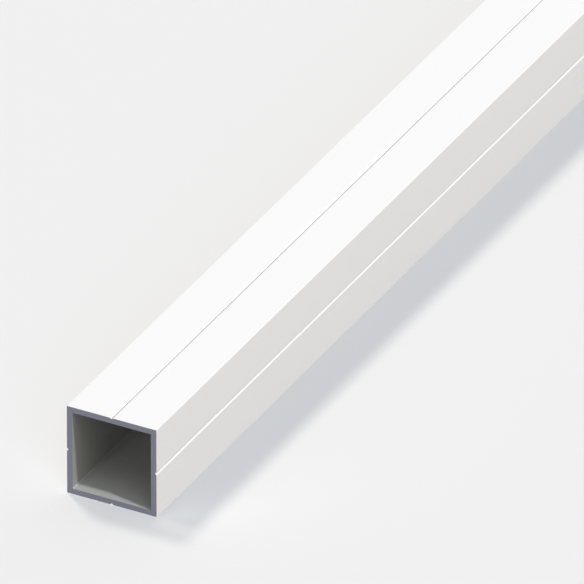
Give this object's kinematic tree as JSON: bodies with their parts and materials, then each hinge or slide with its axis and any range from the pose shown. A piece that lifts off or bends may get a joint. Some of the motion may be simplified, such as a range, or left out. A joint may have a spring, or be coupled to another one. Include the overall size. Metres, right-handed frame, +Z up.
{
  "type": "square tube",
  "caption": "Square aluminium tube with a white coat, square sawn open ends and a fine marking groove along the middle of each outside face.",
  "frame": {"origin": "middle of the lower outside face, halfway along the tube", "axes": "+Y along the tube, +X across it, +Z up from the face that it lies on"},
  "size_m": [0.0234, 1, 0.0235],
  "materials": {
    "white_coat": "satin white coat on the outside, bare sawn aluminium on the ends and in the bore"
  },
  "bodies": {
    "root": {"square_tube": "white_coat"}
  },
  "joints": []
}
